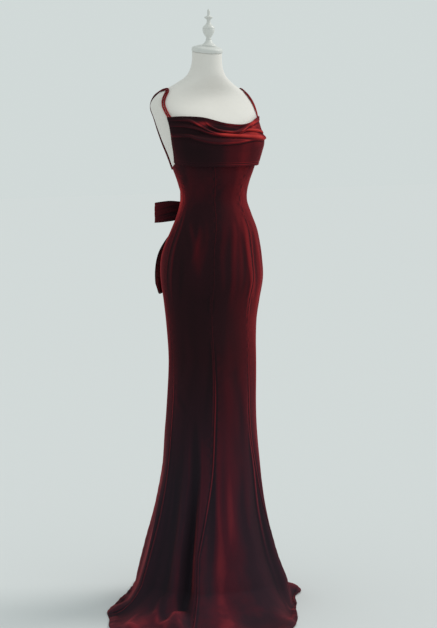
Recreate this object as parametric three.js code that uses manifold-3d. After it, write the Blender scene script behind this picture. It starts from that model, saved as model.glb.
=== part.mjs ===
// Velvet mermaid dress with a draped cowl, on a limbless dress form.
// Millimetres, +Z up. The dress faces -Y and +X is the wearer's left side.
// The origin is on the floor under the pole of the form.
// Angles go round the body in degrees: 0 is centre front, 90 the wearer's left side, 180 centre back.

import * as THREE from 'three';
import { mergeVertices } from 'three/addons/utils/BufferGeometryUtils.js';
import Module from 'manifold-3d';

// Cloth, seams and clearances
const CLOTH = 1.5;
const SEAM_GAP = 0.3;
const LAYER_GAP = 0.5;
const FORM_CLEARANCE = 2.2;
const ARMHOLE_EASE = 1.8;
const ARMHOLE_ANGLE = 81;

// Heights of the dress
const NECK_TOP = 1729;
const STRAP_CORNER = 1530;
const WAIST = 1290;
const FORM_BOTTOM = 930;
const FOOT = 83;
const FLUTES_START = 640;

// Straps
const STRAP_RADIUS = 2.6;
const STRAP_SPACING = 6.4;
const STRAP_LIFT = 0.7;

// Stand
const POLE_RADIUS = 14;
const STAND_ARM = 190;
const STAND_ARM_WIDTH = 46;
const STAND_THICKNESS = 8;
const TOUCH_GAP = 0.3;

// Neck cap and finial
const CAP_RADIUS = 48;
const CAP_TILT = 8;
const FINIAL_FORWARD = 9;

// Bow
const KNOT_HEIGHT = 40;
const KNOT_WIDTH = 30;
const KNOT_DEPTH = 30;
const KNOT_CENTRE = { y: 62.6, z: 1247 };

// Makes rows with named columns.
function table(columns, rows) {
  return rows.map((row) => Object.fromEntries(columns.map((name, i) => [name, row[i]])));
}

// Outer sections of the cloth and, above it, of the form. centre is the y of the widest line.
const SECTIONS = table(
  ['z', 'halfWidth', 'front', 'back', 'centre', 'square'],
  [
    [1760, 50, 49, 49, 0, 2.0],
    [1729, 50, 49, 49, 0, 2.0],
    [1690, 52, 50, 52, 0, 2.0],
    [1657, 67, 53, 63, 3, 2.0],
    [1632, 104, 54, 72, 12, 2.0],
    [1612, 142, 55, 78, 20, 2.0],
    [1592, 170, 60, 82, 24, 2.1],
    [1570, 183, 74, 92, 24, 2.2],
    [1552, 182, 90, 104, 18, 2.2],
    [1530, 175, 108, 116, 8, 2.2],
    [1509, 169, 117, 122, -2, 2.3],
    [1481, 163, 121, 120, -14, 2.4],
    [1456, 158, 125, 119, -24, 2.4],
    [1428, 148, 117, 114, -30, 2.4],
    [1394, 137, 109, 107, -34, 2.3],
    [1366, 127, 104, 103, -36, 2.2],
    [1336, 117, 96, 97, -37, 2.1],
    [1304, 110, 85, 87, -38, 2.1],
    [1273, 110, 84, 83, -38, 2.1],
    [1233, 122, 100, 83, -38, 2.1],
    [1186, 141, 117, 95, -36, 2.1],
    [1139, 156, 128, 113, -28, 2.1],
    [1095, 164, 137, 121, -22, 2.1],
    [1033, 167, 142, 112, -20, 2.1],
    [963, 160, 122, 99, -22, 2.1],
    [894, 151, 113, 102, -24, 2.1],
    [789, 144, 118, 104, -28, 2.1],
    [703, 143, 122, 114, -28, 2.1],
    [572, 148, 131, 129, -22, 2.1],
    [437, 160, 149, 145, -22, 2.1],
    [304, 181, 165, 166, -18, 2.1],
    [171, 216, 196, 193, -14, 2.1],
    [83, 247, 230, 206, -16, 2.1],
    [40, 262, 246, 212, -17, 2.1],
  ],
);

// How the cloth leaves the skirt at the foot height and comes to lie on the floor.
const FALL = table(
  ['part', 'share', 'z'],
  [
    [0.0, 0.0, 83],
    [0.17, 0.16, 56],
    [0.34, 0.35, 31],
    [0.52, 0.55, 11],
    [0.68, 0.74, CLOTH],
    [0.84, 0.87, CLOTH],
    [1.0, 1.0, CLOTH],
  ],
);

// Reach of the hem on the floor, measured from the origin.
const HEM = table(
  ['angle', 'radius'],
  [
    [-180, 345], [-165, 312], [-150, 274], [-135, 266], [-120, 278], [-105, 308],
    [-95, 350], [-84, 385], [-72, 452], [-60, 440], [-48, 408], [-36, 446],
    [-15, 448], [0, 440], [15, 372], [30, 312], [45, 290], [60, 284],
    [70, 309], [79, 322], [92, 322], [105, 338], [120, 352], [135, 356],
    [150, 352], [165, 350], [180, 345],
  ],
);

// Flutes of the lower skirt: how far the wall stands out at foot height. Seams are the crests.
const FLUTES = table(
  ['angle', 'out'],
  [
    [-180, 4], [-171, -9], [-162, -15], [-151, -8], [-141, 8], [-130, -10],
    [-118, -17], [-104, -7], [-91, 9], [-80, -11], [-68, -14], [-57, 3],
    [-48, -34], [-40, 12], [-26, -6], [-8, 2], [10, 3], [27, -5],
    [40, 11], [50, -15], [62, -8], [75, -17], [90, 8], [103, -9],
    [116, -16], [129, -7], [140, 8], [151, -14], [162, -9], [171, -12], [180, 4],
  ],
);

// Folds of the hem that stand up from the floor.
const HEM_FOLDS = table(
  ['angle', 'width', 'height'],
  [
    [-49, 6, 34],
    [-64, 7, 15],
    [-97, 7, 16],
    [-22, 8, 12],
    [8, 7, 10],
    [76, 8, 20],
    [118, 9, 13],
    [163, 8, 15],
    [-156, 8, 10],
  ],
);

// Top edge of the bodice, from centre front over the armhole corner to the low back.
const TOP_EDGE = table(
  ['angle', 'z'],
  [
    [0, 1499], [22, 1501], [42, 1517], [58, 1527.5], [70, STRAP_CORNER - 0.5], [74, 1508],
    [79, 1470], [84, 1428], [90, 1396], [98, 1384], [120, 1376], [150, 1366], [180, 1361],
  ],
);

// Top edge of the cowl, which dips just past centre front.
const COWL_TOP = table(
  ['angle', 'z'],
  [
    [-74, STRAP_CORNER], [-62, STRAP_CORNER], [-45, 1530], [-24, 1526], [-6, 1512], [8, 1506],
    [22, 1507], [34, 1516], [50, 1528], [62, STRAP_CORNER], [74, STRAP_CORNER],
  ],
);

// Ridges of the cowl. Each runs from one side to the other at the given parts of its depth.
const COWL_RIDGES = table(
  ['right', 'middle', 'left', 'width', 'height'],
  [
    [0.02, 0.08, 0.02, 0.06, 6.0],
    [0.12, 0.29, 0.10, 0.055, 6.5],
    [0.27, 0.46, 0.33, 0.06, 7.0],
    [0.44, 0.62, 0.50, 0.055, 5.0],
  ],
);
const COWL_BOTTOM_SIDE = 1393;
const COWL_BOTTOM_FRONT = 1383;
const COWL_SIDE_TOP = 70;
const COWL_SIDE_BOTTOM = 92;

// Seams between panels: angle above the knee, and at the hem.
const FRONT_SEAM = { body: 25, hem: 40 };
const SIDE_SEAM = { body: 90, hem: 90 };
const BACK_SEAM = { body: 141, hem: 140 };
const CENTRE_BACK = { body: 180, hem: 180 };
const SEAM_SWING_START = 660;

// Route of a strap over the form, on the wearer's left.
const STRAP_ROUTE = table(
  ['angle', 'z'],
  [
    [67, 1533], [66, 1552], [65, 1573], [65, 1592], [69, 1607], [80, 1612.5], [92, 1612],
    [105, 1605], [117, 1589], [124, 1562], [127, 1528], [127, 1490], [125, 1450], [122, 1412],
    [120, 1379.5],
  ],
);

const material = (color, roughness) => new THREE.MeshStandardMaterial({ color, roughness, metalness: 0 });
const velvet = material(0x6a1420, 0.85);
const formCloth = material(0xd6d5cd, 0.8);
const whitePaint = material(0xe6e4de, 0.4);
const paleSteel = material(0xc9c9c6, 0.35);

const radians = THREE.MathUtils.degToRad;
const mix = THREE.MathUtils.lerp;
const smooth = (value) => value * value * (3 - 2 * value);
const bell = (distance, width) => Math.exp(-((distance / width) ** 2));
const clamp = THREE.MathUtils.clamp;

// Value of a column between two rows, with a slope that carries on from row to row.
function sample(rows, key, column, at) {
  const rising = rows[1][key] > rows[0][key];
  let i = 0;
  while (i < rows.length - 2 && (rising ? rows[i + 1][key] < at : rows[i + 1][key] > at)) i += 1;
  const [a, b] = [rows[i], rows[i + 1]];
  const before = rows[Math.max(i - 1, 0)];
  const after = rows[Math.min(i + 2, rows.length - 1)];
  const step = b[key] - a[key];
  const t = clamp((at - a[key]) / step, 0, 1);
  const slopeA = ((b[column] - before[column]) / (b[key] - before[key])) * step;
  const slopeB = ((after[column] - a[column]) / (after[key] - a[key])) * step;
  const t2 = t * t;
  const t3 = t2 * t;
  return (
    (2 * t3 - 3 * t2 + 1) * a[column] + (t3 - 2 * t2 + t) * slopeA
    + (3 * t2 - 2 * t3) * b[column] + (t3 - t2) * slopeB
  );
}

// An angle brought to between -180 and 180 degrees.
function turned(angle) {
  return THREE.MathUtils.euclideanModulo(angle + 180, 360) - 180;
}

// Point of a level section, with its two half axes made smaller by an inset.
function sectionPoint(angle, z, inset = 0) {
  const read = (column) => sample(SECTIONS, 'z', column, z);
  const sin = Math.sin(radians(angle));
  const cos = Math.cos(radians(angle));
  const power = 2 / read('square');
  const depth = (cos > 0 ? read('front') : read('back')) - inset;
  const x = (read('halfWidth') - inset) * Math.sign(sin) * Math.abs(sin) ** power;
  const y = read('centre') - depth * Math.sign(cos) * Math.abs(cos) ** power;
  return new THREE.Vector3(x, y, z);
}

// The wall of the dress down to the foot height: its armholes stand off a little, and its skirt is fluted.
function skirtPoint(angle, z) {
  const point = sectionPoint(angle, z);
  const armhole = bell(Math.abs(turned(angle)) - ARMHOLE_ANGLE, 12) * smooth(clamp((z - 1395) / 45, 0, 1));
  const gain = smooth(clamp((FLUTES_START - z) / (FLUTES_START - FOOT), 0, 1));
  const out = ARMHOLE_EASE * armhole + sample(FLUTES, 'angle', 'out', turned(angle)) * gain;
  const centre = new THREE.Vector3(0, sample(SECTIONS, 'z', 'centre', z), z);
  return point.add(point.clone().sub(centre).normalize().multiplyScalar(out));
}

// Height of the hem's standing folds at an angle.
function foldHeight(angle) {
  const heights = HEM_FOLDS.map((fold) => fold.height * bell(turned(angle - fold.angle), fold.width));
  return heights.reduce((sum, height) => sum + height, 0);
}

// Outer face of the dress. Below the foot height, level runs on along the floor to the hem.
function clothPoint(angle, level) {
  if (level >= FOOT) return skirtPoint(angle, level);
  const part = (FOOT - level) / FOOT;
  const foot = skirtPoint(angle, FOOT);
  const reach = sample(HEM, 'angle', 'radius', turned(angle));
  const rim = new THREE.Vector3(reach * Math.sin(radians(angle)), -reach * Math.cos(radians(angle)), 0);
  const point = foot.lerp(rim, sample(FALL, 'part', 'share', part));
  const lift = foldHeight(angle) * Math.sin(Math.PI * clamp((part - 0.3) / 0.7, 0, 1));
  point.z = sample(FALL, 'part', 'z', part) + lift;
  return point;
}

// Outward normal of a surface given as point(angle, level).
function normalOf(pointAt, angle, level) {
  const turn = pointAt(angle + 0.5, level).sub(pointAt(angle - 0.5, level));
  const rise = pointAt(angle, level + 1).sub(pointAt(angle, Math.max(level - 1, 0)));
  return turn.cross(rise).normalize();
}

// Point of the dress moved out along its normal, and kept above the floor.
function moved(angle, level, out) {
  const point = clothPoint(angle, level).addScaledVector(normalOf(clothPoint, angle, level), out);
  point.z = Math.max(point.z, out < 0 ? 0 : CLOTH);
  return point;
}

// Closed body from a box whose points are placed by place(across, down, through), each 0 to 1.
function wall(columns, rows, place) {
  const geometry = new THREE.BoxGeometry(1, 1, 1, columns, rows, 1);
  geometry.deleteAttribute('normal');
  geometry.deleteAttribute('uv');
  const merged = mergeVertices(geometry);
  const position = merged.attributes.position;
  for (let i = 0; i < position.count; i += 1) {
    const point = place(position.getX(i) + 0.5, 0.5 - position.getY(i), position.getZ(i) + 0.5);
    position.setXYZ(i, point.x, point.y, point.z);
  }
  return merged;
}

function mesh(name, geometry, surface) {
  const made = new THREE.Mesh(geometry, surface);
  made.name = name;
  return made;
}

// Angle of a seam at a level. It swings out towards the hem.
function seamAngle(seam, level) {
  const swing = smooth(clamp((SEAM_SWING_START - level) / SEAM_SWING_START, 0, 1));
  return mix(seam.body, seam.hem, Math.min(swing * 1.25, 1));
}

// Levels of the rows of a panel, before its top edge is fitted.
const LEVELS = [
  ...[1530, 1502, 1474, 1447, 1420, 1392, 1364, 1336, 1308],
  ...[1280, 1248, 1214, 1180, 1142, 1100, 1056, 1010, 960],
  ...[900, 832, 760, 688, 616, 545, 480, 420],
  ...[364, 310, 258, 208, 164, 122, FOOT],
  ...[69, 55, 40, 27, 13, 0],
];

// Level of a row once the bodice rows are fitted under the top edge.
function fittedLevel(angle, level) {
  if (level <= WAIST) return level;
  const top = sample(TOP_EDGE, 'angle', 'z', Math.abs(turned(angle)));
  return WAIST + (level - WAIST) * ((top - WAIST) / (LEVELS[0] - WAIST));
}

// One panel of the dress between two seams, on side 1 (left) or -1 (right).
function panel(name, from, to, columns, side) {
  const rows = LEVELS.length - 1;
  return mesh(name, wall(columns, rows, (across, down, through) => {
    const nominal = LEVELS[Math.round(down * rows)];
    const [start, end] = side > 0 ? [from, to] : [to, from];
    const angle = side * mix(seamAngle(start, nominal), seamAngle(end, nominal), across);
    const level = fittedLevel(angle, nominal);
    const point = moved(angle, level, (through - 1) * CLOTH);
    const along = clothPoint(angle + 0.5, level).sub(clothPoint(angle - 0.5, level)).normalize();
    return point.addScaledVector(along, SEAM_GAP * (0.5 - across));
  }), velvet);
}

// How far the cowl stands out from the bodice at an angle and a part of its depth.
function cowlOut(angle, down) {
  const side = clamp(angle / COWL_SIDE_BOTTOM, -1, 1);
  const middle = 1 - Math.abs(side) ** 1.6;
  let out = CLOTH + LAYER_GAP + 0.6 + 2.4 * middle * smooth(down);
  for (const ridge of COWL_RIDGES) {
    const end = side < 0 ? ridge.right : ridge.left;
    const at = mix(end, ridge.middle, middle);
    out += ridge.height * (0.25 + 0.75 * middle) * bell(down - at, ridge.width);
  }
  return out;
}

function cowl() {
  return mesh('cowl_overlay', wall(26, 14, (across, down, through) => {
    const reach = mix(COWL_SIDE_TOP, COWL_SIDE_BOTTOM, down);
    const angle = mix(-reach, reach, across);
    const top = sample(COWL_TOP, 'angle', 'z', clamp(angle, -74, 74));
    const bottom = mix(COWL_BOTTOM_FRONT, COWL_BOTTOM_SIDE, Math.abs(angle / COWL_SIDE_BOTTOM) ** 2);
    const level = mix(top, bottom, down);
    return moved(angle, level, cowlOut(angle, down) + (through - 1) * CLOTH);
  }), velvet);
}

// One thin strap. Two of them lie side by side over each shoulder.
function strap(name, side, lane) {
  const formPoint = (angle, z) => sectionPoint(angle, z, CLOTH + FORM_CLEARANCE);
  const centres = STRAP_ROUTE.map(({ angle, z }) => formPoint(angle, z));
  const points = STRAP_ROUTE.map(({ angle, z }, i) => {
    const before = centres[Math.max(i - 1, 0)];
    const after = centres[Math.min(i + 1, centres.length - 1)];
    const out = normalOf(formPoint, angle, z);
    const across = after.clone().sub(before).cross(out).normalize();
    return centres[i].clone()
      .addScaledVector(out, STRAP_RADIUS + STRAP_LIFT)
      .addScaledVector(across, lane * STRAP_SPACING)
      .multiply(new THREE.Vector3(side, 1, 1));
  });
  const circle = new THREE.Shape().absarc(0, 0, STRAP_RADIUS, 0, 2 * Math.PI);
  const geometry = new THREE.ExtrudeGeometry(circle, {
    curveSegments: 3,
    steps: 26,
    extrudePath: new THREE.CatmullRomCurve3(points, false, 'centripetal'),
  });
  return mesh(name, geometry, velvet);
}

// One loop of the bow: a band that runs out from the knot, turns and comes back.
const LOOP = { reach: 134, gapAtKnot: 17, halfAtKnot: 15, halfAtEnd: 31, drop: 14, swing: 30, fullness: 13 };

function bowLoop(name, side) {
  const start = KNOT_WIDTH / 2 + TOUCH_GAP;
  return mesh(name, wall(22, 5, (across, down, through) => {
    const round = side > 0 ? across : 1 - across;
    const angle = Math.PI * round;
    const out = Math.sin(angle) ** 0.8;
    const bulge = LOOP.gapAtKnot / 2 + LOOP.fullness * Math.sin(angle);
    const thin = (through - 0.5) * CLOTH;
    const x = start + (LOOP.reach - start) * out;
    const y = KNOT_CENTRE.y + LOOP.swing * out ** 1.5 - (bulge + thin) * Math.cos(angle);
    const half = mix(LOOP.halfAtKnot, LOOP.halfAtEnd, smooth(out));
    const z = KNOT_CENTRE.z - LOOP.drop * out + half * (1 - 2 * down);
    return new THREE.Vector3(side * (x + thin * Math.sin(angle)), y, z);
  }), velvet);
}

// The knot: a rounded block that wraps the inner ends of the loops.
function bowKnot() {
  return mesh('bow_knot', wall(4, 5, (across, down, through) => {
    const round = (value) => Math.sin((value - 0.5) * Math.PI * 0.8) / Math.sin(Math.PI * 0.4) / 2;
    const pinch = 1 - 0.12 * (1 - 4 * (down - 0.5) ** 2);
    return new THREE.Vector3(
      (across - 0.5) * KNOT_WIDTH,
      KNOT_CENTRE.y + (0.5 - through) * KNOT_DEPTH * pinch,
      KNOT_CENTRE.z - round(down) * KNOT_HEIGHT,
    );
  }), velvet);
}

// Tails of the bow, which hang over the back of the hip.
const TAILS = table(
  ['name', 'side', 'topAngle', 'endAngle', 'topHalf', 'endHalf', 'endLevel', 'lift'],
  [
    ['bow_tail_right', -1, 171, 136, 6, 17, 985, 17],
    ['bow_tail_left', 1, 171, 143, 6, 16, 950, 12],
  ],
);
const TAIL_TOP = 1224.5;

function bowTail(row) {
  return mesh(row.name, wall(6, 12, (across, down, through) => {
    const from = across - 0.5;
    const half = mix(row.topHalf, row.endHalf, Math.sqrt(down));
    const centre = mix(row.topAngle, row.endAngle, Math.sqrt(down) * 0.6 + down * 0.4);
    const round = row.endLevel + 34 * (2 * from) ** 2;
    const level = mix(TAIL_TOP, round, down);
    const fold = 3 * Math.cos(from * 2 * Math.PI * 1.2) * down;
    const out = CLOTH + LAYER_GAP + 1.1 + 2.3 * Math.sqrt(down) + row.lift * Math.sin(down * 0.62 * Math.PI) + fold;
    return moved(row.side * centre + from * 2 * half, level, out + (through - 1) * CLOTH);
  }), velvet);
}

// The torso of the form, up to its neck, whose top leans forward like the cap.
function dressForm() {
  const rows = 34;
  const geometry = new THREE.CylinderGeometry(1, 1, 1, 40, rows);
  geometry.deleteAttribute('normal');
  geometry.deleteAttribute('uv');
  const merged = mergeVertices(geometry);
  const position = merged.attributes.position;
  for (let i = 0; i < position.count; i += 1) {
    const [x, z] = [position.getX(i), position.getZ(i)];
    const height = position.getY(i) + 0.5;
    const level = mix(FORM_BOTTOM, NECK_TOP, height);
    const rim = sectionPoint(THREE.MathUtils.radToDeg(Math.atan2(x, z)), level, CLOTH + FORM_CLEARANCE);
    const centre = new THREE.Vector3(0, sample(SECTIONS, 'z', 'centre', level), level);
    const point = centre.lerp(rim, Math.hypot(x, z) > 0.5 ? 1 : 0);
    point.z += leanOf(level) * point.y;
    position.setXYZ(i, point.x, point.y, point.z);
  }
  return mesh('dress_form_torso', merged, formCloth);
}

// Slope of the neck's rings, from level at the shoulders to the cap's tilt at the top.
function leanOf(level) {
  return Math.tan(radians(CAP_TILT)) * smooth(clamp((level - 1650) / (NECK_TOP - 1650), 0, 1));
}

// A turned profile as a solid body, standing on z = 0.
function turnedBody(profile, segments) {
  const points = profile.map(({ radius, z }) => new THREE.Vector2(radius, z));
  const geometry = new THREE.LatheGeometry(points, segments);
  geometry.rotateX(Math.PI / 2);
  return geometry;
}

const CAP_PROFILE = table(
  ['radius', 'z'],
  [[0, 0], [CAP_RADIUS - 3, 0], [CAP_RADIUS, 3], [CAP_RADIUS, 6], [CAP_RADIUS - 3, 9], [26, 14], [0, 15]],
);
const FINIAL_PROFILE = table(
  ['radius', 'z'],
  [
    [0, -8], [25, -8], [25, 13], [22, 17], [14, 21], [11, 29], [11.5, 37], [16, 45], [20.5, 54],
    [20.5, 62], [15, 70], [7.5, 75], [7.5, 81], [11, 86], [12.5, 93], [10.5, 100], [5, 106],
    [4, 112], [2, 118], [0, 119],
  ],
);

// Joins two closed bodies into one.
async function joined(first, second) {
  const library = await Module();
  library.setup();
  const [a, b] = [first, second].map((geometry) => {
    geometry.deleteAttribute('normal');
    geometry.deleteAttribute('uv');
    const merged = mergeVertices(geometry);
    const vertProperties = Float32Array.from(merged.attributes.position.array);
    const triVerts = Uint32Array.from(merged.index.array);
    return new library.Manifold(new library.Mesh({ numProp: 3, vertProperties, triVerts }));
  });
  const result = a.add(b).getMesh();
  const geometry = new THREE.BufferGeometry();
  geometry.setAttribute('position', new THREE.Float32BufferAttribute(result.vertProperties, 3));
  geometry.setIndex(Array.from(result.triVerts));
  return geometry;
}

// The turned cap of the neck with its finial, which stands upright on the tilted cap.
async function neckCap() {
  const cap = turnedBody(CAP_PROFILE, 28);
  cap.rotateX(radians(CAP_TILT));
  const finial = turnedBody(FINIAL_PROFILE, 20);
  finial.translate(0, -FINIAL_FORWARD, 12);
  const part = mesh('neck_cap', await joined(cap, finial), whitePaint);
  part.position.set(0, 0, NECK_TOP + TOUCH_GAP);
  return part;
}

// The pole and its flat cross foot.
function stand() {
  const poleLength = FORM_BOTTOM - STAND_THICKNESS - 2 * TOUCH_GAP;
  const pole = mesh('stand_pole', new THREE.CylinderGeometry(POLE_RADIUS, POLE_RADIUS, poleLength, 20), paleSteel);
  pole.rotation.x = Math.PI / 2;
  pole.position.z = STAND_THICKNESS + TOUCH_GAP + poleLength / 2;

  const half = STAND_ARM_WIDTH / 2;
  const outline = new THREE.Shape();
  outline.moveTo(half, -STAND_ARM);
  for (let quarter = 0; quarter < 4; quarter += 1) {
    const turn = (x, y) => new THREE.Vector2(x, y).rotateAround(new THREE.Vector2(), quarter * Math.PI / 2);
    const corners = [turn(half, -STAND_ARM), turn(half, -half), turn(STAND_ARM, -half)];
    corners.forEach((corner) => outline.lineTo(corner.x, corner.y));
  }
  const foot = new THREE.ExtrudeGeometry(outline, { depth: STAND_THICKNESS, bevelEnabled: false });
  return [pole, mesh('stand_foot', foot, paleSteel)];
}

const dress = new THREE.Group();
dress.add(panelCentreFront());
for (const [hand, side] of [['left', 1], ['right', -1]]) {
  dress.add(panel(`side_front_${hand}`, FRONT_SEAM, SIDE_SEAM, 9, side));
  dress.add(panel(`side_back_${hand}`, SIDE_SEAM, BACK_SEAM, 6, side));
  dress.add(panel(`centre_back_${hand}`, BACK_SEAM, CENTRE_BACK, 5, side));
  dress.add(strap(`strap_${hand}_inner`, side, -0.5));
  dress.add(strap(`strap_${hand}_outer`, side, 0.5));
  dress.add(bowLoop(`bow_loop_${hand}`, side));
}
dress.add(cowl());
dress.add(bowKnot());
dress.add(...TAILS.map(bowTail));
dress.add(dressForm());
dress.add(await neckCap());
dress.add(...stand());

// The centre front panel, whose two seams mirror each other.
function panelCentreFront() {
  const mirrored = { body: -FRONT_SEAM.body, hem: -FRONT_SEAM.hem };
  return panel('centre_front', mirrored, FRONT_SEAM, 8, 1);
}

export default dress;
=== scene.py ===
# %% [markdown]
# # A velvet mermaid dress on a dress form
# The real object is a tight, floor-length gown of burgundy velvet. It is cut in seven long panels,
# with a draped cowl over the bust, thin straps, a low back with a bow, and a hem that lies on the floor.
# The frame holds the solids of every piece at their real size. This script dresses them.

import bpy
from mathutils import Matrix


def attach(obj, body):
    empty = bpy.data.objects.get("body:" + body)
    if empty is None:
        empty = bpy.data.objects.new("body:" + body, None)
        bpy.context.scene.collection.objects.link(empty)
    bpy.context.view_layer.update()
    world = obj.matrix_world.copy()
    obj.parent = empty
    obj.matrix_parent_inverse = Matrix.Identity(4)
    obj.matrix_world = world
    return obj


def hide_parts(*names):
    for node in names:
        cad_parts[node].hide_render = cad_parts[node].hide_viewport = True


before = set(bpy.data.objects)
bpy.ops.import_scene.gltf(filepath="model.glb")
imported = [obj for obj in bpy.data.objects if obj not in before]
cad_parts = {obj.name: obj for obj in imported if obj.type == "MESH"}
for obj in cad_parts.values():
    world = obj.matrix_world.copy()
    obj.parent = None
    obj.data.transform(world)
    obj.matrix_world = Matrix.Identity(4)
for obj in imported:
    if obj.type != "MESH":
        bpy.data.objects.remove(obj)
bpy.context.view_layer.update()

# %% [markdown]
# Blender works in metres. A dressmaker's sizes read better in millimetres, so the tables and functions below
# are in millimetres, and points are made metres when a mesh gets them.

# %% Modules and units
import math

import bmesh
import bpy
import numpy as np
from mathutils import Matrix, Vector

MM = 0.001
ROOT = "root"
print("nodes in the frame:", sorted(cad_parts))

# %% [markdown]
# The camera stands at the wearer's right front, a little above the waist line, and looks slightly down.
# A long lens keeps the gown's sides nearly parallel.
# The lens follows from the height of the picture, and a small sideways shift puts the form left of centre.

# %% Camera
IMAGE_HEIGHT_PX = 628
FOCAL_PX = 1800
CAMERA_TURN = 33
CAMERA_PITCH = 7
CAMERA_DISTANCE = 5.604
CAMERA_HEIGHT = 1.604
FORM_LEFT_OF_CENTRE_PX = 11.5
SENSOR = 36


def photo_camera():
    """The camera at the photograph's angle, as the scene's own camera."""
    data = bpy.data.cameras.new("photo_camera")
    data.sensor_width = SENSOR
    data.lens = FOCAL_PX / IMAGE_HEIGHT_PX * SENSOR
    data.shift_x = FORM_LEFT_OF_CENTRE_PX / IMAGE_HEIGHT_PX
    camera = bpy.data.objects.new("photo_camera", data)
    turn = math.radians(CAMERA_TURN)
    camera.location = (-math.sin(turn) * CAMERA_DISTANCE, -math.cos(turn) * CAMERA_DISTANCE, CAMERA_HEIGHT)
    camera.rotation_euler = (math.radians(90 - CAMERA_PITCH), 0, -turn)
    bpy.context.scene.collection.objects.link(camera)
    bpy.context.scene.camera = camera
    return camera


print("lens in mm:", round(photo_camera().data.lens, 1))

# %% [markdown]
# Cloth is easiest to shape from a table of sections, one row for each height. A smooth curve through the rows
# gives the size at any height.
# Angles go round the body: 0 is centre front, 90 the wearer's left side and 180 centre back.


# %% Tables and smooth curves through them
def table(columns, *rows):
    """Named columns of numbers."""
    return {name: np.array([row[i] for row in rows], float) for i, name in enumerate(columns)}


def along(rows, key, column, at):
    """The value of a column at places along the key, with a slope that carries on from row to row."""
    keys, values = rows[key], rows[column]
    if keys[0] > keys[-1]:
        keys, values = keys[::-1], values[::-1]
    at = np.asarray(at, float)
    i = np.clip(np.searchsorted(keys, at) - 1, 0, len(keys) - 2)
    before = np.maximum(i - 1, 0)
    after = np.minimum(i + 2, len(keys) - 1)
    step = keys[i + 1] - keys[i]
    t = np.clip((at - keys[i]) / step, 0, 1)
    slope_a = (values[i + 1] - values[before]) / (keys[i + 1] - keys[before]) * step
    slope_b = (values[after] - values[i]) / (keys[after] - keys[i]) * step
    return (
        (2 * t**3 - 3 * t**2 + 1) * values[i]
        + (t**3 - 2 * t**2 + t) * slope_a
        + (3 * t**2 - 2 * t**3) * values[i + 1]
        + (t**3 - t**2) * slope_b
    )


def smooth(value):
    """0 to 1 with soft ends."""
    value = np.clip(value, 0, 1)
    return value * value * (3 - 2 * value)


def mix(a, b, share):
    return a + (b - a) * share


def bell(distance, width):
    return np.exp(-((distance / width) ** 2))


def turned(angle):
    """An angle brought to between -180 and 180 degrees."""
    return (np.asarray(angle, float) + 180) % 360 - 180


def uneven(place, seed):
    """A smooth, uneven wave between about -1 and 1, the same on each run."""
    waves = ((1.0, 0.0, 0.5), (2.3, 1.7, 0.3), (5.1, 4.1, 0.2))
    return sum(share * np.sin(rate * place + seed * 2.1 + start) for rate, start, share in waves)


# %% [markdown]
# The gown's body is a stack of level ovals. Each has its own half width, its own depth in front and behind,
# and a power that makes it a little square, as a torso is. The form comes from the same table, a little
# smaller, so that the cloth can't sink into it.

# %% Sections of the cloth and of the form above it
CLOTH = 1.4
FORM_INSET = 3.7

SECTIONS = table(
    ("z", "half_width", "front", "back", "centre", "square"),
    (1760, 50, 49, 49, 0, 2.0),
    (1729, 50, 49, 49, 0, 2.0),
    (1690, 52, 50, 52, 0, 2.0),
    (1657, 67, 53, 63, 3, 2.0),
    (1632, 104, 54, 72, 12, 2.0),
    (1612, 142, 55, 78, 20, 2.0),
    (1592, 170, 60, 82, 24, 2.1),
    (1570, 183, 74, 92, 24, 2.2),
    (1552, 182, 90, 104, 18, 2.2),
    (1530, 175, 108, 116, 8, 2.2),
    (1509, 169, 117, 122, -2, 2.3),
    (1481, 163, 121, 120, -14, 2.4),
    (1456, 158, 125, 119, -24, 2.4),
    (1428, 148, 117, 114, -30, 2.4),
    (1394, 137, 109, 107, -34, 2.3),
    (1366, 127, 104, 103, -36, 2.2),
    (1336, 117, 96, 97, -37, 2.1),
    (1304, 110, 85, 87, -38, 2.1),
    (1273, 110, 84, 83, -38, 2.1),
    (1233, 122, 100, 83, -38, 2.1),
    (1186, 141, 117, 95, -36, 2.1),
    (1139, 156, 128, 113, -28, 2.1),
    (1095, 164, 137, 121, -22, 2.1),
    (1033, 167, 142, 112, -20, 2.1),
    (963, 160, 122, 99, -22, 2.1),
    (894, 151, 113, 102, -24, 2.1),
    (789, 144, 118, 104, -28, 2.1),
    (703, 143, 122, 114, -28, 2.1),
    (572, 148, 131, 129, -22, 2.1),
    (437, 160, 149, 145, -22, 2.1),
    (304, 181, 165, 166, -18, 2.1),
    (171, 216, 196, 193, -14, 2.1),
    (83, 247, 230, 206, -16, 2.1),
    (40, 262, 246, 212, -17, 2.1),
)
print("sections:", len(SECTIONS["z"]))

# %% [markdown]
# Below foot height the cloth turns onto the floor and runs out to the hem, further on one side than on the
# other. The flare above it stands in flutes, which are soft upright folds that fade out towards the knee.
# The top edge dips a little in front, falls away at the armholes and is low at the back.

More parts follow.
